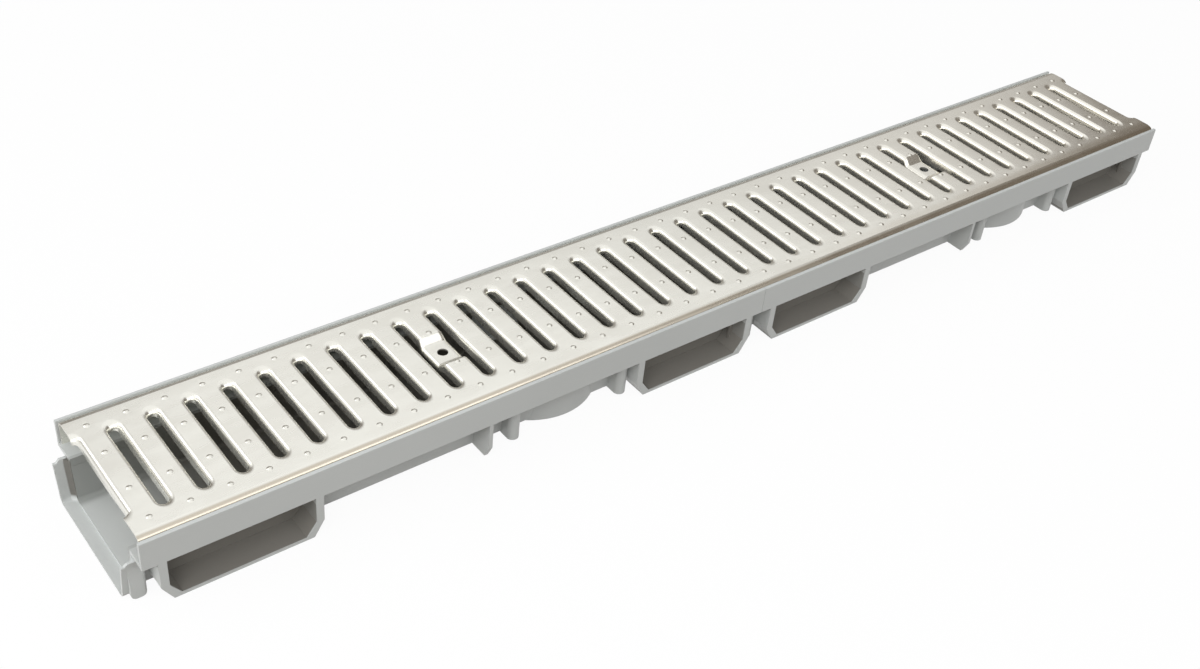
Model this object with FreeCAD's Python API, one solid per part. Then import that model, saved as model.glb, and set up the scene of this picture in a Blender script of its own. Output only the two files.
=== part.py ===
import FreeCAD, Part
import math
import os

# Low channel drain: moulded sections joined end to end, with one pressed grate dropped in.
# All sizes are in millimetres. X runs along the drain, Y across it and Z up.
V = FreeCAD.Vector

# The run of sections
section_count = 2
section_pitch = 500.0
joint_gap = 0.3
total_height = 57.0

# Rim and ledge of a section
rim_width = 130.0
rim_wall = 2.5
rim_drop = 1.2
rim_edge_radius = 0.8
ledge_thickness = 3.6
ledge_lip = 0.8
ledge_lip_depth = 6.0

# Trough of a section
trough_width = 88.0
trough_wall = 2.0
trough_flare = 4.0
floor_thickness = 2.8
floor_radius = 3.0

# Looped feet under the ledge
foot_inset = 10.0
foot_length = 111.0
foot_leg = 5.5
foot_plate = 2.0
foot_corner_run = 7.5
foot_corner_rise = 12.5
foot_root = 4.0
stiffener_offset = 13.2
stiffener_thickness = 1.5
stiffener_reach = 4.0
stiffener_foot = 5.5

# Middle rib
rib_thickness = 3.0
rib_setback = 0.5
rib_lift = 1.5
rib_corner_run = 5.0
rib_corner_rise = 10.0

# Outlet well with its knock-out floor, and the two round posts beside it
outlet_from_middle = 75.0
outlet_diameter = 104.0
outlet_wall = 2.0
knockout_diameter = 97.0
knockout_groove = 1.5
knockout_groove_depth = 1.2
post_spacing = 96.0
post_width = 9.5
post_reach = 13.0
post_lift = 1.2

# Bell end that takes the plain end of the next section
bell_length = 8.8
bell_wall = 2.0
bell_floor = 1.2
bell_clearance = 3.0
bell_flare = 5.5
bell_radius = 5.0
bell_top_gap = 0.7
bell_tip_length = 2.0
bell_tip_drop = 2.2
bell_web = 2.0
lead_length = 2.5
seat_clearance = 0.5
lap_clearance = 0.3
ear_length = 10.8
ear_front = 5.0
ear_width = 4.5
ear_top_gap = 6.4
ear_radius = 4.0
ear_rear_radius = 2.5

# Pressed grate
sheet = 1.2
grate_side_gap = 0.5
grate_end_gap = 1.5
grate_height = 20.0
grate_bend_radius = 6.0
bar_count = 38
slot_length = 87.0
slot_width = 14.4
slot_bend_radius = 3.5
slot_flange_depth = 8.5
slot_end_facets = 4
collar_seat = 0.6

# Raised pips on the bars
pip_row_outer = 47.6
pip_row_inner = 18.5
pip_radius = 1.8
pip_top_radius = 1.0
pip_height = 0.6
pip_sides = 6

# Lock pockets pressed into two bars
pocket_depth = 5.0
pocket_length = 32.8
pocket_slope = 5.4
lock_hole_diameter = 8.0

# Places worked out from the sizes above
run_length = section_count * section_pitch
grate_length = run_length - 2 * grate_end_gap
rim_length = section_pitch - joint_gap
half_rim = rim_width / 2
half_trough = trough_width / 2
rim_top = total_height - rim_drop
ledge_top = total_height - grate_height
ledge_bottom = ledge_top - ledge_thickness
half_grate = half_rim - rim_wall - grate_side_gap
bar_pitch = grate_length / bar_count
start_x = -(run_length - joint_gap - bell_length) / 2


def rounded_wire(corners, place):
    """Closed wire through corners (a, b, radius), each corner rounded by its radius."""
    count = len(corners)
    cuts = []
    for i in range(count):
        a, b, radius = corners[i]
        here = place(a, b)
        before = place(*corners[i - 1][:2])
        after = place(*corners[(i + 1) % count][:2])
        if radius <= 0:
            cuts.append((here, None, here))
            continue
        back = (before - here).normalize()
        ahead = (after - here).normalize()
        half_angle = back.getAngle(ahead) / 2
        reach = radius / math.tan(half_angle)
        middle = (back + ahead).normalize()
        depth = radius / math.sin(half_angle) - radius
        cuts.append((here + back * reach, here + middle * depth, here + ahead * reach))
    edges = []
    for i in range(count):
        first, middle, last = cuts[i]
        if middle is not None:
            edges.append(Part.Arc(first, middle, last).toShape())
        target = cuts[(i + 1) % count][0]
        if last.distanceToPoint(target) > 1e-6:
            edges.append(Part.LineSegment(last, target).toShape())
    return Part.Wire(edges)


def across(corners, x_from, x_to):
    """Solid with an outline in the YZ plane, run along X."""
    wire = rounded_wire(corners, lambda a, b: V(x_from, a, b))
    return Part.Face(wire).extrude(V(x_to - x_from, 0, 0))


def along(corners, y_from, y_to):
    """Solid with an outline in the XZ plane, run along Y."""
    wire = rounded_wire(corners, lambda a, b: V(a, y_from, b))
    return Part.Face(wire).extrude(V(0, y_to - y_from, 0))


def upright(corners, z_from, z_to):
    """Solid with an outline in the XY plane, run along Z."""
    wire = rounded_wire(corners, lambda a, b: V(a, b, z_from))
    return Part.Face(wire).extrude(V(0, 0, z_to - z_from))


def mirrored_corners(side):
    """Outline given for positive Y, closed by its mirror image."""
    return side + [(-a, b, radius) for a, b, radius in reversed(side)]


def block(x_from, x_to, y_from, y_to, z_from, z_to):
    return Part.makeBox(x_to - x_from, y_to - y_from, z_to - z_from, V(x_from, y_from, z_from))


def both_sides(solid):
    return [solid, solid.mirror(V(0, 0, 0), V(0, 1, 0))]


def wall_at(z):
    """Distance from the middle to the outside of the trough's wall, which leans outwards."""
    return half_trough + trough_flare * z / ledge_bottom


def outer_block():
    """Rim, ledge and trough as one moulded outline, still filled."""
    side = [
        (half_rim, rim_top, rim_edge_radius),
        (half_rim, ledge_bottom, 0),
        (wall_at(ledge_bottom), ledge_bottom, 0),
        (wall_at(0), 0, floor_radius),
    ]
    return across(mirrored_corners(side), 0, rim_length)


def water_way():
    """Room for the water below, and for the grate above the ledge."""
    lip_bottom = ledge_top - ledge_lip_depth
    under_lip = lip_bottom - ledge_lip
    inside = wall_at(lip_bottom) - trough_wall - ledge_lip
    side = [
        (wall_at(floor_thickness) - trough_wall, floor_thickness, floor_radius),
        (wall_at(under_lip) - trough_wall, under_lip, 0),
        (inside, lip_bottom, 0),
        (inside, ledge_top, 0),
        (half_rim - rim_wall, ledge_top, 0),
        (half_rim - rim_wall, total_height, 0),
    ]
    return across(mirrored_corners(side), 0, section_pitch)


def foot(x_from):
    """Closed loop standing beside the trough, flush with the rim and the underside."""
    x_to = x_from + foot_length
    outline = [
        (x_from, ledge_bottom + ledge_thickness / 2, 0),
        (x_from, foot_corner_rise, 0),
        (x_from + foot_corner_run, 0, 0),
        (x_to - foot_corner_run, 0, 0),
        (x_to, foot_corner_rise, 0),
        (x_to, ledge_bottom + ledge_thickness / 2, 0),
    ]
    left = x_from + foot_leg
    right = x_to - foot_leg
    opening = [
        (left, ledge_bottom, 0),
        (left, foot_corner_rise, 0),
        (left + foot_corner_run, foot_plate, 0),
        (right - foot_corner_run, foot_plate, 0),
        (right, foot_corner_rise, 0),
        (right, ledge_bottom, 0),
    ]
    loop = along(outline, half_trough - foot_root, half_rim)
    return loop.cut(along(opening, half_trough, half_rim + rim_wall))


def stiffener(x_leg):
    """Thin upright on the inner face of a leg, half way out to the rim."""
    middle = half_rim - stiffener_offset
    return block(x_leg - stiffener_reach, x_leg + foot_leg / 2,
                 middle - stiffener_thickness / 2, middle + stiffener_thickness / 2,
                 stiffener_foot, ledge_top - ledge_thickness / 2)


def middle_rib(x_middle):
    """Single plate under the ledge with its lower outer corner cut off."""
    tip = half_rim - rib_setback
    outline = [
        (half_trough - trough_wall / 2, rib_lift, 0),
        (tip - rib_corner_run, rib_lift, 0),
        (tip, rib_lift + rib_corner_rise, 0),
        (tip, ledge_top - ledge_thickness / 2, 0),
        (half_trough - trough_wall / 2, ledge_top - ledge_thickness / 2, 0),
    ]
    return across(outline, x_middle - rib_thickness / 2, x_middle + rib_thickness / 2)


def round_post(x_middle):
    """Post with a rounded front that stiffens the wall beside the outlet."""
    half = post_width / 2
    outline = [
        (x_middle - half, half_trough - trough_wall / 2, 0),
        (x_middle + half, half_trough - trough_wall / 2, 0),
        (x_middle + half, half_trough + post_reach, half * 0.98),
        (x_middle - half, half_trough + post_reach, half * 0.98),
    ]
    return upright(outline, post_lift, ledge_top - ledge_thickness / 2)


def outlet_well(x_middle):
    """Round bulge in the walls that makes room for a pipe below."""
    radius = outlet_diameter / 2
    return Part.makeCylinder(radius, ledge_bottom + ledge_thickness / 2, V(x_middle, 0, 0))


def outlet_bore(x_middle):
    """Room inside the well, down to its floor."""
    radius = outlet_diameter / 2 - outlet_wall
    return Part.makeCylinder(radius, ledge_bottom - floor_thickness, V(x_middle, 0, floor_thickness))


def knockout_ring(x_middle):
    """Groove under the floor of the well, along which the outlet is knocked out."""
    radius = knockout_diameter / 2
    ring = Part.makeCylinder(radius, knockout_groove_depth, V(x_middle, 0, 0))
    core = Part.makeCylinder(radius - knockout_groove, knockout_groove_depth, V(x_middle, 0, 0))
    return ring.cut(core)


def flared(low, high, bottom, top, radius):
    """U outline, filled, with leaning sides and rounded lower corners."""
    return mirrored_corners([(low, bottom, radius), (high, top, 0)])


def ear():
    """Rounded block outside the bell where two sections catch each other."""
    inner = half_trough - trough_wall / 2
    outer = half_trough + bell_clearance + bell_wall + ear_width
    top = ledge_bottom - ear_top_gap
    rear = ear_length - ear_front
    plan = upright([
        (-ear_front, inner, 0),
        (rear, inner, 0),
        (rear, outer, ear_rear_radius),
        (-ear_front, outer, 0),
    ], 0, top)
    front = along([
        (-ear_front, 0, ear_radius),
        (rear, 0, ear_radius),
        (rear, top, 0),
        (-ear_front, top, 0),
    ], inner, outer)
    return plan.common(front)


def bell_room():
    """Room in the bell, which narrows to a seat round the end of the next section."""
    inner = half_trough + bell_clearance
    wide = rounded_wire(flared(inner, inner + bell_flare, bell_floor, ledge_bottom,
                               bell_radius - bell_wall), lambda a, b: V(-lead_length, a, b))
    seat = half_trough + seat_clearance
    seat_radius = floor_radius - bell_floor - lap_clearance
    narrow = rounded_wire(flared(seat, seat + trough_flare, bell_floor, ledge_bottom,
                                 seat_radius), lambda a, b: V(0, a, b))
    mouth = Part.Face(wide).extrude(V(-bell_length, 0, 0))
    return [mouth, Part.makeLoft([wide, narrow], True, True)]


def bell_tip():
    """What is taken off the top of the bell at its open end, up a short slope."""
    top = ledge_bottom - bell_top_gap
    low = top - bell_tip_drop
    end = bell_tip_length - bell_length
    outline = [
        (-2 * bell_length, low, 0),
        (end, low, 0),
        (end + bell_tip_drop, top, 0),
        (end + bell_tip_drop, ledge_top, 0),
        (-2 * bell_length, ledge_top, 0),
    ]
    return along(outline, -half_rim, half_rim)


def bell():
    """Bell end with its web and ears, open towards the next section."""
    low = half_trough + bell_clearance + bell_wall
    top = ledge_bottom - bell_top_gap
    shell = across(flared(low, low + bell_flare, 0, top, bell_radius), -bell_length, bell_web)
    head = shell.multiFuse(both_sides(ear()))
    return head.cut(bell_room() + [bell_tip()])


def lap_cut():
    """Room under the floor of the plain end for the floor of the next bell."""
    start = section_pitch - bell_length - lap_clearance
    return block(start, section_pitch + 1, -half_rim, half_rim, -1, bell_floor + lap_clearance)


def channel_section():
    left_foot = foot_inset
    right_foot = section_pitch - foot_inset - foot_length
    outlet_x = section_pitch / 2 + outlet_from_middle
    added = [bell(), outlet_well(outlet_x)]
    added += both_sides(foot(left_foot)) + both_sides(foot(right_foot))
    added += both_sides(stiffener(right_foot + foot_length - foot_leg))
    added += both_sides(middle_rib(section_pitch / 2))
    for side in (-1, 1):
        added += both_sides(round_post(outlet_x + side * post_spacing / 2))
    solid = outer_block().multiFuse(added)
    removed = [water_way(), outlet_bore(outlet_x), knockout_ring(outlet_x), lap_cut()]
    return solid.cut(removed).removeSplitter()


def stacked(rings, capped):
    """Solid from rings of points, joined ring to ring by flat faces.

    A capped stack is closed by its first and last ring. Otherwise the last ring joins the first.
    """
    count = len(rings[0])
    faces = []
    pairs = list(zip(rings, rings[1:]))
    if not capped:
        pairs.append((rings[-1], rings[0]))
    for low, high in pairs:
        for i in range(count):
            j = (i + 1) % count
            corners = [low[i], low[j], high[j], high[i], low[i]]
            faces.append(Part.Face(Part.makePolygon(corners)))
    if capped:
        for ring in (rings[0], rings[-1]):
            faces.append(Part.Face(Part.makePolygon(ring + ring[:1])))
    solid = Part.Solid(Part.makeShell(faces))
    if solid.Volume < 0:
        solid.reverse()
    return solid


def slot_ring(half_width, z):
    """Long outline of a slot at one height, with a faceted half circle at each end."""
    straight = slot_length / 2 - slot_width / 2
    points = []
    for end in (1, -1):
        for i in range(slot_end_facets + 1):
            turn = math.pi * i / slot_end_facets
            x = end * half_width * math.cos(turn)
            points.append(V(x, end * (straight + half_width * math.sin(turn)), z))
    return points


def slot_collar():
    """Drawn edge of one slot: the sheet bends down and ends in a short flange."""
    edge = slot_width / 2
    opening = edge - slot_bend_radius
    turn = total_height - slot_bend_radius
    foot_z = total_height - slot_flange_depth
    seat = edge + collar_seat
    half = math.sqrt(0.5)
    profile = [
        (opening, foot_z),
        (opening, turn),
        (edge - slot_bend_radius * half, turn + slot_bend_radius * half),
        (edge, total_height),
        (seat, total_height),
        (seat, total_height - sheet),
        (opening + sheet, total_height - sheet),
        (opening + sheet, foot_z),
    ]
    return stacked([slot_ring(r, z) for r, z in profile], False)


def slot_hole(middle_x):
    """Hole in the sheet that the drawn edge fills again all round."""
    rings = [slot_ring(slot_width / 2 + collar_seat / 2, z) for z in (ledge_top, total_height + 1)]
    hole = stacked(rings, True)
    hole.translate(V(middle_x, 0, 0))
    return hole


def folded_sheet():
    """Top of the grate with both long edges folded down to stand on the ledge."""
    inner_radius = grate_bend_radius - sheet
    side = [
        (half_grate - sheet, total_height - sheet, inner_radius),
        (half_grate - sheet, ledge_top, 0),
        (half_grate, ledge_top, 0),
        (half_grate, total_height, grate_bend_radius),
    ]
    return across(mirrored_corners(side), 0, grate_length)


def pip(x, y):
    """Low raised nub, sunk a little into the sheet so that it is one with it."""
    sunk = sheet / 2
    spread = (pip_radius - pip_top_radius) / pip_height

    def ring(radius, z):
        turn = 2 * math.pi / pip_sides
        return [V(x + radius * math.cos(turn * i), y + radius * math.sin(turn * i), z)
                for i in range(pip_sides)]

    base = ring(pip_radius + spread * sunk, total_height - sunk)
    return stacked([base, ring(pip_top_radius, total_height + pip_height)], True)


def pocket_profile():
    """Side view of a pocket: down a slope, along its floor and up again."""
    half = pocket_length / 2
    low = total_height - pocket_depth
    return [(-half, total_height), (-half + pocket_slope, low),
            (half - pocket_slope, low), (half, total_height)]


def pocket_tray(middle_x):
    """Pressed floor of a lock pocket with its screw hole."""
    half_bar = bar_pitch / 2 - slot_width / 2 + slot_bend_radius
    top = pocket_profile()
    under = [(a, b - sheet) for a, b in reversed(top)]
    outline = [(a, b, 0) for a, b in top + under]
    tray = across(outline, middle_x - half_bar, middle_x + half_bar)
    hole = Part.makeCylinder(lock_hole_diameter / 2, grate_height, V(middle_x, 0, ledge_top))
    return tray.cut(hole)


def pocket_room(middle_x):
    """What is pressed away above the floor of a lock pocket."""
    half_bar = bar_pitch / 2 - slot_width / 2 + slot_bend_radius
    outline = [(a, b, 0) for a, b in pocket_profile()]
    return across(outline, middle_x - half_bar, middle_x + half_bar)


def pip_places():
    """Middle line of each bar, in four rows, clear of the pockets between the inner two."""
    places = []
    for bar in range(bar_count):
        x = (bar + 0.5) * bar_pitch
        for y in (-pip_row_outer, -pip_row_inner, pip_row_inner, pip_row_outer):
            places.append((x, y))
    return places


def grate():
    openings = []
    collars = []
    collar = slot_collar()
    for slot in range(bar_count + 1):
        x = slot * bar_pitch
        openings.append(slot_hole(x))
        ring = collar.copy()
        ring.translate(V(x, 0, 0))
        if slot == 0:
            ring = ring.common(block(0, slot_width, -half_grate, half_grate, 0, total_height))
        if slot == bar_count:
            ring = ring.common(block(x - slot_width, x, -half_grate, half_grate, 0, total_height))
        collars.append(ring)
    body = folded_sheet().cut(openings)
    locked_bars = [int(bar_count / 4), bar_count - 1 - int(bar_count / 4)]
    pips = [pip(x, y) for x, y in pip_places()]
    body = body.multiFuse(collars + pips)
    locks = [(bar + 0.5) * bar_pitch for bar in locked_bars]
    body = body.cut([pocket_room(x) for x in locks])
    body = body.multiFuse([pocket_tray(x) for x in locks])
    return body.removeSplitter()


def placed(solid, x):
    moved = solid.copy()
    moved.translate(V(start_x + x, 0, 0))
    return moved


os.makedirs("parts", exist_ok=True)
section = channel_section()
placed(section, 0).exportStep("parts/channel_section_left.step")
placed(section, section_pitch).exportStep("parts/channel_section_right.step")
placed(grate(), grate_end_gap).exportStep("parts/grate.step")
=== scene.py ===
import math
import bpy
import bmesh
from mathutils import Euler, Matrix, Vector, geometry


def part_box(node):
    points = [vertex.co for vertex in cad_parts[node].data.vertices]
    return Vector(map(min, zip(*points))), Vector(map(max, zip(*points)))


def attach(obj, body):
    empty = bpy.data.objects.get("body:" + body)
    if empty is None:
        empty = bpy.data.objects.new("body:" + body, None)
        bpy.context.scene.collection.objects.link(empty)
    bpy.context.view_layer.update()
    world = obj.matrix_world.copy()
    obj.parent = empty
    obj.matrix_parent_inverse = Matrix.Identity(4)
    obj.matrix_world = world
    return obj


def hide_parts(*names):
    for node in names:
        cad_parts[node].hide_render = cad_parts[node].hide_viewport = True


# Channel drain: one pressed sheet grate on moulded grey sections that lap end to end.
# Metres throughout. X runs along the drain, Y across it, Z up.

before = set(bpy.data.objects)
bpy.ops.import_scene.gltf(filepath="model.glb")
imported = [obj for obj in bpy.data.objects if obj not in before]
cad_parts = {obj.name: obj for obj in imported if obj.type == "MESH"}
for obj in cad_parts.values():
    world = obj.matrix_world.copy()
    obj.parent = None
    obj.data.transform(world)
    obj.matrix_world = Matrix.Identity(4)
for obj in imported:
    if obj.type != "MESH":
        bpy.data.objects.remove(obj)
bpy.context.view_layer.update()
print("frame loaded")

scene = bpy.context.scene
scene.view_settings.view_transform = "Standard"


def addObject(name, data):
    piece = bpy.data.objects.new(name, data)
    scene.collection.objects.link(piece)
    return piece


cameraSetup = {
    "place": (-0.68755, -0.66874, 0.69839),
    "turnDegrees": (52.084, -5.1354, -37.2759),
    "lens": 43.8226,
    "sensor": 36.0,
    "clip": (0.01, 50),
}


def addCamera():
    data = bpy.data.cameras.new("photoCamera")
    data.lens = cameraSetup["lens"]
    data.sensor_width = cameraSetup["sensor"]
    data.clip_start, data.clip_end = cameraSetup["clip"]
    camera = addObject("photoCamera", data)
    camera.location = cameraSetup["place"]
    camera.rotation_euler = Euler([math.radians(a) for a in cameraSetup["turnDegrees"]])
    scene.camera = camera


addCamera()
print("camera set")


def newMaterial(name):
    material = bpy.data.materials.new(name)
    material.use_nodes = True
    tree = material.node_tree
    return material, tree, tree.nodes["Principled BSDF"]


def addNode(tree, kind, values=None, **settings):
    node = tree.nodes.new(kind)
    for key, value in settings.items():
        setattr(node, key, value)
    for key, value in (values or {}).items():
        node.inputs[key].default_value = value
    return node


def feed(tree, value, socket):      # sets a number or a colour, links an output
    if isinstance(value, (int, float)):
        socket.default_value = value
    elif isinstance(value, tuple):
        socket.default_value = (*value, 1)
    else:
        tree.links.new(value, socket)


def mathNode(tree, operation, *values):
    node = addNode(tree, "ShaderNodeMath", operation=operation)
    for value, socket in zip(values, node.inputs):
        feed(tree, value, socket)
    return node.outputs[0]


def noiseNode(tree, where, scale, detail=2.0, roughness=0.55, stretch=None):
    if stretch is not None:
        mapping = addNode(tree, "ShaderNodeMapping", {"Scale": stretch})
        tree.links.new(where, mapping.inputs["Vector"])
        where = mapping.outputs["Vector"]
    node = addNode(tree, "ShaderNodeTexNoise", {"Scale": scale, "Detail": detail, "Roughness": roughness})
    tree.links.new(where, node.inputs["Vector"])
    return node.outputs["Fac"]


def rampNode(tree, fac, stops, smooth=False):
    node = tree.nodes.new("ShaderNodeValToRGB")
    node.color_ramp.interpolation = "EASE" if smooth else "LINEAR"
    elements = node.color_ramp.elements
    elements[0].position, elements[0].color = stops[0][0], (*stops[0][1], 1)
    elements[1].position, elements[1].color = stops[-1][0], (*stops[-1][1], 1)
    for position, colour in stops[1:-1]:
        elements.new(position).color = (*colour, 1)
    tree.links.new(fac, node.inputs["Fac"])
    return node.outputs["Color"]


noiseMiddle = (0.3, 0.7)      # most of a noise lies between these


def twoTones(tree, noise, low, high, smooth=False):
    return rampNode(tree, noise, [(noiseMiddle[0], low), (noiseMiddle[1], high)], smooth)


def mixNode(tree, fac, first, second):
    node = addNode(tree, "ShaderNodeMix", data_type="RGBA")
    for value, index in ((fac, 0), (first, 6), (second, 7)):      # the colour sockets of this node
        feed(tree, value, node.inputs[index])
    return node.outputs[2]


def rangeNode(tree, value, low, high, outLow=0.0, outHigh=1.0, smooth=True):
    node = addNode(tree, "ShaderNodeMapRange",
                   {"From Min": low, "From Max": high, "To Min": outLow, "To Max": outHigh},
                   interpolation_type="SMOOTHSTEP" if smooth else "LINEAR")
    tree.links.new(value, node.inputs["Value"])
    return node.outputs["Result"]


def maskNode(tree, mask, limits):      # narrows a mask by soft steps, each a value with its outer and inner end
    for value, (outside, inside) in limits:
        mask = mathNode(tree, "MULTIPLY", mask, rangeNode(tree, value, outside, inside))
    return mask


def placeNodes(tree):
    where = tree.nodes.new("ShaderNodeTexCoord").outputs["Object"]
    split = tree.nodes.new("ShaderNodeSeparateXYZ")
    tree.links.new(where, split.inputs[0])
    return where, split.outputs


def bumpNode(tree, height, strength, distance, below=None):
    node = addNode(tree, "ShaderNodeBump", {"Strength": strength, "Distance": distance})
    tree.links.new(height, node.inputs["Height"])
    if below is not None:
        tree.links.new(below, node.inputs["Normal"])
    return node.outputs["Normal"]


def blendShaders(tree, share, first, second, out):
    mix = tree.nodes.new("ShaderNodeMixShader")
    tree.links.new(share, mix.inputs[0])
    tree.links.new(first.outputs[0], mix.inputs[1])
    tree.links.new(second.outputs[0], mix.inputs[2])
    tree.links.new(mix.outputs[0], out.inputs["Surface"])


sheetLook = {
    # the sheet's own colour with a painted reflection: it changes along X as the reflections on the flats do
    "leftColour": (0.89, 0.88, 0.815),
    "middleColour": (0.855, 0.845, 0.78),
    "rightColour": (0.94, 0.91, 0.83),
    "ends": (-0.5, 0.5),      # where the left and the right colour are reached
    "drift": 0.25,      # how far the clouds push the colours along
    "cloudSize": 9.0,
    "marginReflectionColour": (0.52, 0.45, 0.35),      # painted brown reflection on the near margin and its folded edge
    "reflectionAcross": (-0.0465, -0.0535),
    "reflectionAlong": (-0.05, 0.5),
    "reflectionShare": 0.5,
    "foldReflectionAcross": (-0.0570, -0.0590),
    "foldReflectionShare": 0.75,
    "grainColour": (0.62, 0.58, 0.50),
    "grainSize": 60.0,
    "grainDetail": (4.0, 0.6),      # layers, and how rough they are
    "grainStretch": (0.35, 1.0, 1.0),
    "grainShown": (0.3, 0.8),
    "grainShare": 0.12,
    "metallic": 0.86,
    "roughness": (0.22, 0.30),
    "softSize": 45.0,
    "softBump": (0.06, 0.002),      # strength and height
    "fineSize": 900.0,
    "fineBump": (0.03, 0.0004),
}


def galvanisedSheet():
    look = sheetLook
    material, tree, shader = newMaterial("galvanisedSheet")
    where, axes = placeNodes(tree)
    cloud = mathNode(tree, "SUBTRACT", noiseNode(tree, where, look["cloudSize"]), 0.5)
    # painted reflection: the colour drifts from the left end to the right end along X
    shifted = mathNode(tree, "ADD", axes["X"], mathNode(tree, "MULTIPLY", cloud, look["drift"]))
    fade = rangeNode(tree, shifted, *look["ends"], smooth=False)
    colour = rampNode(tree, fade, [(0.0, look["leftColour"]), (0.5, look["middleColour"]), (1.0, look["rightColour"])])
    # painted brown reflection on the near margin, growing along X, and on its folded edge
    marginReflection = mathNode(tree, "MULTIPLY", rangeNode(tree, axes["Y"], *look["reflectionAcross"]),
                     rangeNode(tree, shifted, *look["reflectionAlong"], 0.0, look["reflectionShare"]))
    colour = mixNode(tree, marginReflection, colour, look["marginReflectionColour"])
    edge = rangeNode(tree, axes["Y"], *look["foldReflectionAcross"], 0.0, look["foldReflectionShare"])
    colour = mixNode(tree, edge, colour, look["marginReflectionColour"])
    grain = noiseNode(tree, where, look["grainSize"], *look["grainDetail"], look["grainStretch"])
    worn = rangeNode(tree, grain, *look["grainShown"], 0.0, look["grainShare"])
    colour = mixNode(tree, worn, colour, look["grainColour"])
    tree.links.new(colour, shader.inputs["Base Color"])
    shader.inputs["Metallic"].default_value = look["metallic"]
    tree.links.new(rangeNode(tree, grain, *noiseMiddle, *look["roughness"]), shader.inputs["Roughness"])
    fine = noiseNode(tree, where, look["fineSize"])
    soft = noiseNode(tree, where, look["softSize"])
    normal = bumpNode(tree, soft, *look["softBump"])
    tree.links.new(bumpNode(tree, fine, *look["fineBump"], normal), shader.inputs["Normal"])
    return material


cutLook = {
    "darkColour": (0.72, 0.70, 0.65),
    "paleColour": (0.84, 0.82, 0.77),
    "tornSize": 160.0,
    "tornShown": (0.2, 0.8),
    "metallic": 0.85,
    "roughness": (0.35, 0.5),
}


def sheetCut():
    material, tree, shader = newMaterial("sheetCut")
    torn = noiseNode(tree, placeNodes(tree)[0], cutLook["tornSize"])
    colour = twoTones(tree, torn, cutLook["darkColour"], cutLook["paleColour"])
    tree.links.new(colour, shader.inputs["Base Color"])
    shader.inputs["Metallic"].default_value = cutLook["metallic"]
    tree.links.new(rangeNode(tree, torn, *cutLook["tornShown"], *cutLook["roughness"]), shader.inputs["Roughness"])
    return material


# Pairs say where a painted shade starts and where it is full: along X, across Y, by height or by lean.
# Lean is the distance from the middle, less what the trough's walls lean out at that height.
# The foot spans are the ends of the four loops, inside.
plasticLook = {
    "colour": (0.58, 0.60, 0.59),
    "shade": (0.55, 0.57, 0.56),
    "cloudSize": 7.0,
    "cloudDetail": 3.0,
    "roughness": (0.36, 0.46),
    "specular": 0.4,
    "flowSize": 30.0,
    "flowDetail": (2.0, 0.5),
    "flowStretch": (0.3, 1.0, 1.0),
    "flowBump": (0.08, 0.001),
    "fineSize": 1400.0,
    "fineBump": (0.08, 0.0002),
    "wallLean": 0.12,
    "wallPlace": 0.043,      # lean at the trough's inner wall
    "wallSoft": 0.0003,
    "footShadeColour": (0.175, 0.16, 0.138),      # painted shade inside the foot loops
    "footShadeShare": 0.88,
    "footSpans": ((-0.47995, -0.37995), (-0.11095, -0.01095), (0.02005, 0.12005), (0.38905, 0.48905)),
    "footSoft": (0.0004, -0.0002),
    "footAcross": (0.0645, 0.0640),
    "footTop": (0.0285, 0.0275),
    "footFloor": (0.0010, 0.0018),
    "troughShadeColour": (0.11, 0.10, 0.08),      # painted shade deeper in, under the grate
    "troughShadeAlong": (-0.495, -0.40),
    "troughShadeShare": 0.88,
    "troughFloor": (0.0012, 0.0018),
    "troughTop": (0.0372, 0.0368),
    "wallShadeColour": (0.24, 0.25, 0.235),      # painted shade on the inner walls of the trough
    "wallShadeFade": (0.034, 0.041),
    "wallShadeShare": 0.7,
    "stepShadeColour": (0.15, 0.145, 0.13),      # painted shade on the step behind the bell, at the left end
    "stepAcross": ((0.0385, 0.0400), (0.0525, 0.0515)),
    "stepAlong": ((-0.4985, -0.4975), (-0.4950, -0.4954)),
    "stepHeight": ((0.003, 0.006), (0.036, 0.034)),
}


# painted shade: the mask where the inside of the four foot loops is darkened
def footShadeMask(tree, axes, aside, lean):
    look = plasticLook
    outside, inside = look["footSoft"]
    inSpan = 0.0
    for low, high in look["footSpans"]:
        away = mathNode(tree, "ABSOLUTE", mathNode(tree, "SUBTRACT", axes["X"], (low + high) / 2))
        half = (high - low) / 2
        inSpan = mathNode(tree, "MAXIMUM", rangeNode(tree, away, half + outside, half + inside), inSpan)
    wall, soft = look["wallPlace"], look["wallSoft"]
    return maskNode(tree, inSpan, ((aside, look["footAcross"]), (lean, (wall - soft, wall + soft)),
                                   (axes["Z"], look["footTop"]), (axes["Z"], look["footFloor"])))


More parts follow.
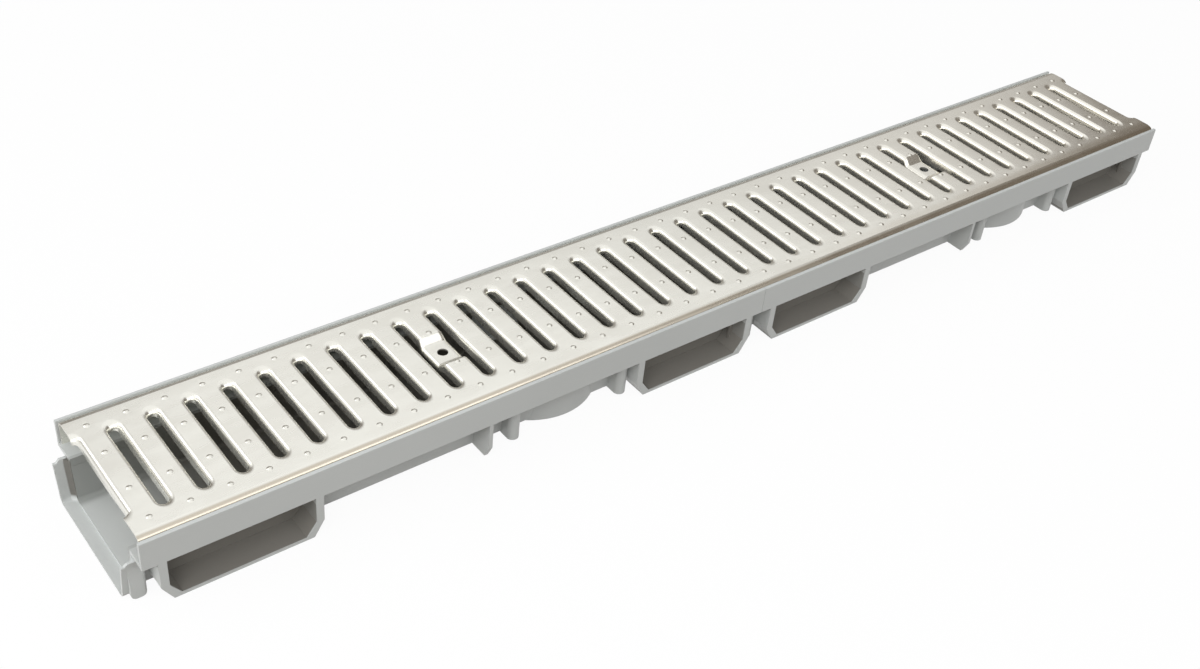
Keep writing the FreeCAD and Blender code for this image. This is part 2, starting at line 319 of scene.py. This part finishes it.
def mouldedPlastic():
    look = plasticLook
    material, tree, shader = newMaterial("mouldedPlastic")
    where, axes = placeNodes(tree)
    cloud = noiseNode(tree, where, look["cloudSize"], look["cloudDetail"])
    colour = twoTones(tree, cloud, look["shade"], look["colour"], True)
    aside = mathNode(tree, "ABSOLUTE", axes["Y"])
    lean = mathNode(tree, "SUBTRACT", aside, mathNode(tree, "MULTIPLY", axes["Z"], look["wallLean"]))
    footShade = mathNode(tree, "MULTIPLY", footShadeMask(tree, axes, aside, lean), look["footShadeShare"])
    colour = mixNode(tree, footShade, colour, look["footShadeColour"])
    wall, soft = look["wallPlace"], look["wallSoft"]
    inTrough = maskNode(tree, rangeNode(tree, lean, wall + soft, wall - soft),
                        ((axes["Z"], look["troughFloor"]), (axes["Z"], look["troughTop"])))
    # painted shade on the trough's inner walls
    wallShade = mathNode(tree, "MULTIPLY", inTrough, rangeNode(tree, lean, *look["wallShadeFade"], 0.0, look["wallShadeShare"]))
    colour = mixNode(tree, wallShade, colour, look["wallShadeColour"])
    # painted shade on the step behind the bell
    steps = [(axes["Y"], look["stepAcross"][1])]
    steps += [(axes["X"], limit) for limit in look["stepAlong"]] + [(axes["Z"], limit) for limit in look["stepHeight"]]
    stepShade = maskNode(tree, rangeNode(tree, axes["Y"], *look["stepAcross"][0]), steps)
    colour = mixNode(tree, stepShade, colour, look["stepShadeColour"])
    # painted shade: the trough's inside darkens away from the open left end
    deepShade = rangeNode(tree, axes["X"], *look["troughShadeAlong"], 0.0, look["troughShadeShare"])
    colour = mixNode(tree, mathNode(tree, "MULTIPLY", inTrough, deepShade), colour, look["troughShadeColour"])
    tree.links.new(colour, shader.inputs["Base Color"])
    tree.links.new(rangeNode(tree, cloud, *noiseMiddle, *look["roughness"]), shader.inputs["Roughness"])
    shader.inputs["Specular IOR Level"].default_value = look["specular"]
    fine = noiseNode(tree, where, look["fineSize"])
    flow = noiseNode(tree, where, look["flowSize"], *look["flowDetail"], look["flowStretch"])
    normal = bumpNode(tree, flow, *look["flowBump"])
    tree.links.new(bumpNode(tree, fine, *look["fineBump"], normal), shader.inputs["Normal"])
    return material


galvanised = galvanisedSheet()
cutEdge = sheetCut()
greyPlastic = mouldedPlastic()
print("materials made")


sectionFinish = {
    "edgeRound": 0.00045,
    "edgeSteps": 2,
    "edgeAngle": 28.0,
}


def dressSection(name):      # the mouldings keep their shape from the frame
    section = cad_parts[name]
    section.data.materials.clear()
    section.data.materials.append(greyPlastic)
    section.data.shade_smooth()
    rounding = section.modifiers.new("edgeRound", "BEVEL")
    rounding.width = sectionFinish["edgeRound"]
    rounding.segments = sectionFinish["edgeSteps"]
    rounding.limit_method = "ANGLE"
    rounding.angle_limit = math.radians(sectionFinish["edgeAngle"])
    rounding.use_clamp_overlap = True
    rounding.harden_normals = True


for sectionName in ("channel_section_left", "channel_section_right"):
    dressSection(sectionName)
print("sections dressed")


grateSheet = {
    "thickness": 0.0012,
    "bars": 38,
    "slotLength": 0.087,
    "slotWidth": 0.0144,
    "slotBend": 0.0035,
    "slotEndSpread": 0.0026,      # lengthens the rounded ends only
    "flangeDepth": 0.0085,
    "endFlangeDepth": 0.0052,
    "flangeFade": (-0.002, 0.0035),      # from the end of the straight part
    "flangeRows": (0.5, 1.0),
    "halfSlotTrim": 0.75,
    "halfSlotFade": (-0.001, 0.003),
    "edgeWidth": 0.006,
    "edgeTilt": 12.0,
    "edgeSlope": 0.0025,
    "edgeSlopeRows": (0.15, 1.0),
    "bendSteps": 7,
    "slotEndSteps": 14,
    "edgeSteps": 8,
    "cutRound": 0.00012,
    "cutAngle": 50,
    "joinWithin": 2e-6,
    "splitWithin": 1e-7,
}

grateNubs = {
    "rows": (-0.0476, -0.0185, 0.0185, 0.0476),
    "height": 0.0006,
    "profile": ((0.0027, 0.0), (0.00235, -0.14), (0.0020, 0.0), (0.0016, 0.40), (0.0012, 0.70), (0.0008, 0.89),
                (0.0004, 0.97)),      # radius, and share of the height
    "sides": 18,
    "clear": 0.0032,      # no mesh points of the flat nearer than this
}

gratePockets = {
    "bars": (9, 28),
    "depth": 0.005,
    "length": 0.0328,
    "slope": 0.0054,
    "slopeRound": 0.16,
    "slopeReach": 0.0012,
    "bulge": 0.0014,
    "bulgeStart": 0.8,      # share of the half bar that stays flat
    "footDrop": 0.0009,
    "reach": 0.004,
    "rowReach": 0.003,
    "rowStep": 0.0009,
    "hole": 0.008,
    "holeSteps": 28,
    "holeClear": 0.0004,
    "across": 4,      # mesh points on half the flat
}

grateLow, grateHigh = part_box("grate")
topZ = grateHigh.z - grateNubs["height"]
startX, endX = grateLow.x, grateHigh.x
barPitch = (endX - startX) / grateSheet["bars"]
slotHalf = grateSheet["slotWidth"] / 2
straightHalf = grateSheet["slotLength"] / 2 - slotHalf
barFlat = barPitch / 2 - slotHalf
flatHalf = grateHigh.y - grateSheet["edgeWidth"]
pocketHalf = gratePockets["length"] / 2


def pocketRows():
    first, step = -pocketHalf - gratePockets["rowReach"], gratePockets["rowStep"]
    return [round(first + i * step, 6) for i in range(int(-2 * first / step) + 1)]


def slotOutline(slotIndex, halfWidth, spread=0.0):
    middleX = startX + slotIndex * barPitch
    steps = grateSheet["slotEndSteps"]
    byPocket = any(slotIndex in (bar, bar + 1) for bar in gratePockets["bars"])
    rows = [-straightHalf] + (pocketRows() if byPocket else [-straightHalf / 3, straightHalf / 3]) + [straightHalf]
    right = [(middleX + halfWidth, y) for y in rows]
    left = [(middleX - halfWidth, y) for y in reversed(rows)]
    turns = [math.pi * i / steps for i in range(1, steps)]
    farEnd = [(middleX + halfWidth * math.cos(turn), straightHalf + (halfWidth + spread) * math.sin(turn))
              for turn in turns]
    nearEnd = [(middleX - halfWidth * math.cos(turn), -straightHalf - (halfWidth + spread) * math.sin(turn))
               for turn in turns]
    half = steps // 2
    farTip = [(middleX, straightHalf + halfWidth + spread)]
    nearTip = [(middleX, -straightHalf - halfWidth - spread)]
    if slotIndex == 0:      # the sheet ends in the middle of its first and last slot
        return nearTip + nearEnd[half:] + right + farEnd[:half - 1] + farTip, False
    if slotIndex == grateSheet["bars"]:
        return farTip + farEnd[half:] + left + nearEnd[:half - 1] + nearTip, False
    return right + farEnd + left + nearEnd, True


def easeStep(value, low, high):
    share = min(max((value - low) / (high - low), 0), 1)
    return share * share * (3 - 2 * share)


def flangeDepthAt(y):
    before, after = grateSheet["flangeFade"]
    share = easeStep(abs(y), straightHalf + before, straightHalf + after)
    return grateSheet["flangeDepth"] + (grateSheet["endFlangeDepth"] - grateSheet["flangeDepth"]) * share


def halfSlotLift(slotIndex, y):      # the cut ends of the sheet hang down less at the near side
    if 0 < slotIndex < grateSheet["bars"]:
        return 1.0
    before, after = grateSheet["halfSlotFade"]
    return 1 - grateSheet["halfSlotTrim"] * easeStep(-y, straightHalf + before, straightHalf + after)


def slotRings(slotIndex):
    bend, steps = grateSheet["slotBend"], grateSheet["bendSteps"]
    rings = []
    for i in range(steps + 1):
        turn = math.pi / 2 * i / steps
        spread = grateSheet["slotEndSpread"] * (1 - math.sin(turn))
        outline = slotOutline(slotIndex, slotHalf - bend * math.sin(turn), spread)[0]
        down = bend * (1 - math.cos(turn))
        rings.append([(x, y, topZ - down * halfSlotLift(slotIndex, y)) for x, y in outline])
    outline, closed = slotOutline(slotIndex, slotHalf - bend)
    for share in grateSheet["flangeRows"]:
        rings.append([(x, y, topZ - (bend + share * (flangeDepthAt(y) - bend)) * halfSlotLift(slotIndex, y))
                      for x, y in outline])
    return rings, closed


def inSlot(x, y):
    index = round((x - startX) / barPitch)
    aside = x - (startX + index * barPitch)
    past = max(abs(y) - straightHalf, 0)
    return math.hypot(aside / slotHalf, past / (slotHalf + grateSheet["slotEndSpread"])) < 1


def edgeProfile():      # creased and slightly sloped, then bent down to the ledge
    tilt = math.radians(grateSheet["edgeTilt"])
    slope = grateSheet["edgeSlope"]
    bend = (grateSheet["edgeWidth"] - slope) / (1 - math.sin(tilt))
    steps = grateSheet["edgeSteps"]
    points = [(0, 0)]
    points += [(slope * share, slope * share * math.tan(tilt)) for share in grateSheet["edgeSlopeRows"]]
    for i in range(1, steps + 1):
        turn = tilt + (math.pi / 2 - tilt) * i / steps
        points.append((slope + bend * (math.sin(turn) - math.sin(tilt)),
                       slope * math.tan(tilt) + bend * (math.cos(tilt) - math.cos(turn))))
    bottom = topZ - grateLow.z
    points.append((grateSheet["edgeWidth"], (points[-1][1] + bottom) / 2))
    points.append((grateSheet["edgeWidth"], bottom))
    return points


def barMiddle(bar):
    return startX + (bar + 0.5) * barPitch


def nubPlaces():
    return [(barMiddle(bar), y) for bar in range(grateSheet["bars"]) for y in grateNubs["rows"]]


def ringPoints(x, y, radius, sides):
    turns = [2 * math.pi * i / sides for i in range(sides)]
    return [(x + radius * math.cos(turn), y + radius * math.sin(turn)) for turn in turns]


def pocketDrop(y):      # 0 on the flat, 1 on the pocket's floor, rounded at both ends of the slope
    inside = pocketHalf - abs(y)
    if inside <= -gratePockets["slopeReach"]:
        return 0.0
    raw = inside / gratePockets["slope"]
    soft = gratePockets["slopeRound"]
    if raw < soft:
        return max(raw + soft, 0) ** 2 / (4 * soft)
    if raw > 1 + soft:
        return 1.0
    if raw > 1 - soft:
        return 1 - (1 + soft - raw) ** 2 / (4 * soft)
    return raw


def pressPocket(point):      # sinks the bar and pushes its flanges outwards
    x, y, z = point
    for bar in gratePockets["bars"]:
        aside = x - barMiddle(bar)
        if abs(aside) > barPitch / 2 or abs(y) > pocketHalf + gratePockets["reach"]:
            continue
        drop = pocketDrop(y)
        sunk = gratePockets["depth"] * drop
        foot = topZ - grateSheet["flangeDepth"]
        bendFoot = topZ - grateSheet["slotBend"]
        if z >= bendFoot:
            newZ = z - sunk
        else:
            share = (bendFoot - z) / (bendFoot - foot)
            newZ = (bendFoot - sunk) * (1 - share) + (foot - gratePockets["footDrop"] * drop) * share
        start = gratePockets["bulgeStart"]
        reach = max(abs(aside) - barFlat * start, 0) / (grateSheet["slotBend"] + barFlat * (1 - start))
        return x + math.copysign(gratePockets["bulge"] * drop * reach, aside), y, newZ
    return point


def halfBarStops():
    return [startX + i * barPitch / 2 for i in range(2 * grateSheet["bars"] + 1)]


def flatRegion():      # the flat of the sheet, cut out round slots, pips and lock holes
    points, edges = [], []

    def addLoop(loop):
        base, count = len(points), len(loop)
        points.extend(Vector(p) for p in loop)
        edges.extend((base + i, base + (i + 1) % count) for i in range(count))

    stops = halfBarStops()
    spread = grateSheet["slotEndSpread"]
    firstSlot = slotOutline(0, slotHalf, spread)[0]
    lastSlot = slotOutline(grateSheet["bars"], slotHalf, spread)[0]
    outer = [(x, -flatHalf) for x in stops] + lastSlot[::-1] + [(x, flatHalf) for x in reversed(stops)]
    addLoop(outer + firstSlot[::-1])
    for slotIndex in range(1, grateSheet["bars"]):
        addLoop(slotOutline(slotIndex, slotHalf, spread)[0])
    for x, y in nubPlaces():
        addLoop(ringPoints(x, y, grateNubs["profile"][0][0], grateNubs["sides"]))
    holeRadius = gratePockets["hole"] / 2
    across = gratePockets["across"]
    for bar in gratePockets["bars"]:
        middleX = barMiddle(bar)
        addLoop(ringPoints(middleX, 0, holeRadius, gratePockets["holeSteps"]))
        for y in pocketRows():
            for i in range(1 - across, across):
                x = middleX + i * barFlat / across
                offHole = math.hypot(x - middleX, y) > holeRadius + gratePockets["holeClear"]
                nub = min(math.hypot(x - middleX, y - row) for row in grateNubs["rows"])
                if offHole and nub > grateNubs["clear"]:
                    points.append(Vector((x, y)))
    result = geometry.delaunay_2d_cdt(points, edges, [], 0, grateSheet["splitWithin"])
    vertices, faces = result[0], result[2]
    within = 0.98      # a face whose middle lies inside a round cut-out is left out
    nubRadius = grateNubs["profile"][0][0] * within
    kept = []
    for face in faces:
        x = sum(vertices[i].x for i in face) / len(face)
        y = sum(vertices[i].y for i in face) / len(face)
        if inSlot(x, y):
            continue
        bar = min(int((x - startX) / barPitch), grateSheet["bars"] - 1)
        aside = x - barMiddle(bar)
        if any(math.hypot(aside, y - row) < nubRadius for row in grateNubs["rows"]):
            continue
        if bar in gratePockets["bars"] and math.hypot(aside, y) < holeRadius * within:
            continue
        kept.append(face)
    return vertices, kept


def addStrip(mesh, rings, closed):
    rows = [[mesh.verts.new(p) for p in ring] for ring in rings]
    count = len(rows[0])
    for low, high in zip(rows, rows[1:]):
        for i in range(count if closed else count - 1):
            j = (i + 1) % count
            mesh.faces.new((low[i], low[j], high[j], high[i]))
    return rows


def grateMesh():
    mesh = bmesh.new()
    vertices, faces = flatRegion()
    made = [mesh.verts.new((v.x, v.y, topZ)) for v in vertices]
    for face in faces:
        mesh.faces.new([made[i] for i in face])
    for slotIndex in range(grateSheet["bars"] + 1):
        addStrip(mesh, *slotRings(slotIndex))
    for side in (-1, 1):
        rings = [[(x, side * (flatHalf + out), topZ - down) for x in halfBarStops()] for out, down in edgeProfile()]
        addStrip(mesh, rings, False)
    for x, y in nubPlaces():
        rings = []
        for radius, share in grateNubs["profile"]:
            z = topZ + grateNubs["height"] * share
            rings.append([(px, py, z) for px, py in ringPoints(x, y, radius, grateNubs["sides"])])
        last = addStrip(mesh, rings, True)[-1]
        crown = mesh.verts.new((x, y, topZ + grateNubs["height"]))
        for i in range(len(last)):
            mesh.faces.new((last[i], last[(i + 1) % len(last)], crown))
    bmesh.ops.remove_doubles(mesh, verts=mesh.verts, dist=grateSheet["joinWithin"])
    for vertex in mesh.verts:
        vertex.co = pressPocket(tuple(vertex.co))
    bmesh.ops.recalc_face_normals(mesh, faces=mesh.faces)
    top = max(mesh.faces, key=lambda face: face.calc_area() * abs(face.normal.z))
    if top.normal.z < 0:
        bmesh.ops.reverse_faces(mesh, faces=mesh.faces)
    for face in mesh.faces:
        face.smooth = True
    data = bpy.data.meshes.new("pressedGrate")
    mesh.to_mesh(data)
    mesh.free()
    return data


def buildGrate():
    data = grateMesh()
    data.materials.append(galvanised)
    data.materials.append(cutEdge)
    piece = addObject("pressedGrate", data)
    solid = piece.modifiers.new("sheetThickness", "SOLIDIFY")
    solid.thickness = grateSheet["thickness"]
    solid.offset = -1
    solid.material_offset_rim = 1      # cut edges take the second material
    rounding = piece.modifiers.new("cutRound", "BEVEL")
    rounding.width = grateSheet["cutRound"]
    rounding.segments = 1
    rounding.limit_method = "ANGLE"
    rounding.angle_limit = math.radians(grateSheet["cutAngle"])
    rounding.use_clamp_overlap = True
    weights = piece.modifiers.new("weights", "WEIGHTED_NORMAL")
    weights.keep_sharp = True
    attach(piece, "root")
    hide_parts("grate")
    return piece


grate = buildGrate()
print("grate built:", len(grate.data.polygons), "faces before thickness")


studio = {
    "floorReach": 8.0,
    "floorDrop": 0.0004,
    "floorSeen": (0.92, 0.92, 0.92),
    "floorCloud": 0.985,
    "floorCloudSize": 3.0,
    "floorRoughness": 0.9,
    "floorSpecular": 0.1,
    "floorBounce": (0.24, 0.21, 0.18),      # what the floor throws back on the drain
    "floorWhite": 0.94,
    "fillColour": (1.0, 1.0, 1.0),
    "fillLow": 0.22,
    "fillHigh": 0.60,
    "lamps": (
        {"name": "backLeftSoft", "place": (-1.75, 1.4, 1.65), "aim": (-0.2, 0, 0), "size": 1.1, "power": 8},
        {"name": "frontLeftSoft", "place": (-2.1, -1.6, 2.1), "aim": (-0.1, 0, 0), "size": 1.8, "power": 42},
        {"name": "frontSoft", "place": (0.5, -2.3, 1.7), "aim": (0, 0, 0), "size": 2.2, "power": 18},
        {"name": "leftSoft", "place": (-2.7, 0.1, 0.9), "aim": (-0.5, 0, 0), "size": 1.3, "power": 26,
         "inSheet": False},
    ),
}

shadeCard = {
    "reach": 2.6,      # distance from the drain's middle
    "turns": (-62, -48, -35, 0, 16, 28, 82, 92, 104, 118, 126, 134, 156, 170),
    "darkTops": (0.1, 1.5, 2.6, 3.4, 3.0, 0.20, 0.50, 1.1, 1.1, 0.2, 0.6, 1.1, 1.1, 0.1),
    "clearTops": (0.8, 2.4, 3.8, 5.0, 4.4, 1.95, 2.30, 3.3, 3.3, 1.0, 1.1, 1.6, 1.6, 0.5),
    "thinness": (0, 0, 0, 0, 0, 0, 0, 0, 0, 0.1, 0.35, 0.45, 0.45, 0.6),
    "steps": 58,
    "colour": (0.13, 0.105, 0.08),
}


def cardValue(turn, values):
    stops = shadeCard["turns"]
    for i in range(len(stops) - 1):
        if turn <= stops[i + 1]:
            share = easeStep(turn, stops[i], stops[i + 1])
            return values[i] + (values[i + 1] - values[i]) * share
    return values[-1]


def addShadeCard():      # dark card that the photographer stands beside the drain: only the metal shows it
    vertices, faces, clear = [], [], []
    steps, reach = shadeCard["steps"], shadeCard["reach"]
    first, last = shadeCard["turns"][0], shadeCard["turns"][-1]
    for i in range(steps + 1):
        degrees = first + (last - first) * i / steps
        turn = math.radians(degrees)
        rows = (0.0, cardValue(degrees, shadeCard["darkTops"]), cardValue(degrees, shadeCard["clearTops"]))
        vertices += [(reach * math.cos(turn), reach * math.sin(turn), z) for z in rows]
        clear += [cardValue(degrees, shadeCard["thinness"])] * 2 + [1.0]
    for i in range(steps):
        for low in (0, 1):
            faces.append((3 * i + low, 3 * i + 3 + low, 3 * i + 4 + low, 3 * i + 1 + low))
    data = bpy.data.meshes.new("shadeCard")
    data.from_pydata(vertices, [], faces)
    clearness = data.attributes.new("clearness", "FLOAT", "POINT")
    clearness.data.foreach_set("value", clear)
    piece = addObject("shadeCard", data)
    piece.visible_camera = False
    piece.visible_diffuse = False
    piece.visible_shadow = False
    material, tree, shader = newMaterial("shadeCard")
    tree.nodes.remove(shader)
    share = addNode(tree, "ShaderNodeAttribute", attribute_name="clearness").outputs["Fac"]
    glow = addNode(tree, "ShaderNodeEmission", {"Color": (*shadeCard["colour"], 1), "Strength": 1.0})
    passed = tree.nodes.new("ShaderNodeBsdfTransparent")
    blendShaders(tree, share, glow, passed, tree.nodes["Material Output"])
    data.materials.append(material)


def seenShare(tree, rays):      # 1 where the camera, the metal or glass looks at it
    share = mathNode(tree, "MAXIMUM", rays["Is Camera Ray"], rays["Is Glossy Ray"])
    return mathNode(tree, "MAXIMUM", share, rays["Is Transmission Ray"])


def addFloor():
    reach = studio["floorReach"]
    data = bpy.data.meshes.new("floor")
    corners = [(-reach, -reach, 0), (reach, -reach, 0), (reach, reach, 0), (-reach, reach, 0)]
    data.from_pydata(corners, [], [(0, 1, 2, 3)])
    floor = addObject("floor", data)
    floor.location.z = -studio["floorDrop"]
    material, tree, shader = newMaterial("paleFloor")
    cloud = noiseNode(tree, placeNodes(tree)[0], studio["floorCloudSize"])
    clouded = tuple(c * studio["floorCloud"] for c in studio["floorSeen"])
    pale = twoTones(tree, cloud, studio["floorSeen"], clouded)
    shader.inputs["Roughness"].default_value = studio["floorRoughness"]
    shader.inputs["Specular IOR Level"].default_value = studio["floorSpecular"]
    rays = tree.nodes.new("ShaderNodeLightPath").outputs
    colour = mixNode(tree, rays["Is Camera Ray"], studio["floorBounce"], pale)
    tree.links.new(colour, shader.inputs["Base Color"])
    white = addNode(tree, "ShaderNodeEmission", {"Color": (1, 1, 1, 1), "Strength": 1.0})
    share = mathNode(tree, "MULTIPLY", seenShare(tree, rays), studio["floorWhite"])
    blendShaders(tree, share, shader, white, tree.nodes["Material Output"])
    data.materials.append(material)


def addWorld():
    world = bpy.data.worlds.new("paleStudio")
    world.use_nodes = True
    scene.world = world
    tree = world.node_tree
    tree.nodes.clear()
    split = tree.nodes.new("ShaderNodeSeparateXYZ")
    tree.links.new(tree.nodes.new("ShaderNodeTexCoord").outputs["Generated"], split.inputs[0])
    strength = rangeNode(tree, split.outputs["Z"], 0.0, 1.0, studio["fillLow"], studio["fillHigh"], False)
    fill = addNode(tree, "ShaderNodeBackground", {"Color": (*studio["fillColour"], 1)})
    tree.links.new(strength, fill.inputs["Strength"])
    white = addNode(tree, "ShaderNodeBackground", {"Color": (1, 1, 1, 1), "Strength": 1.0})
    share = seenShare(tree, tree.nodes.new("ShaderNodeLightPath").outputs)
    blendShaders(tree, share, fill, white, tree.nodes.new("ShaderNodeOutputWorld"))


def addLamps():
    for setup in studio["lamps"]:
        data = bpy.data.lights.new(setup["name"], "AREA")
        data.shape = "SQUARE"
        data.size = setup["size"]
        data.energy = setup["power"]
        lamp = addObject(setup["name"], data)
        lamp.location = setup["place"]
        lamp.rotation_euler = (Vector(setup["aim"]) - lamp.location).to_track_quat("-Z", "Y").to_euler()
        lamp.visible_glossy = setup.get("inSheet", True)      # whether the metal shows it


addFloor()
addShadeCard()
addWorld()
addLamps()
print("studio lit")
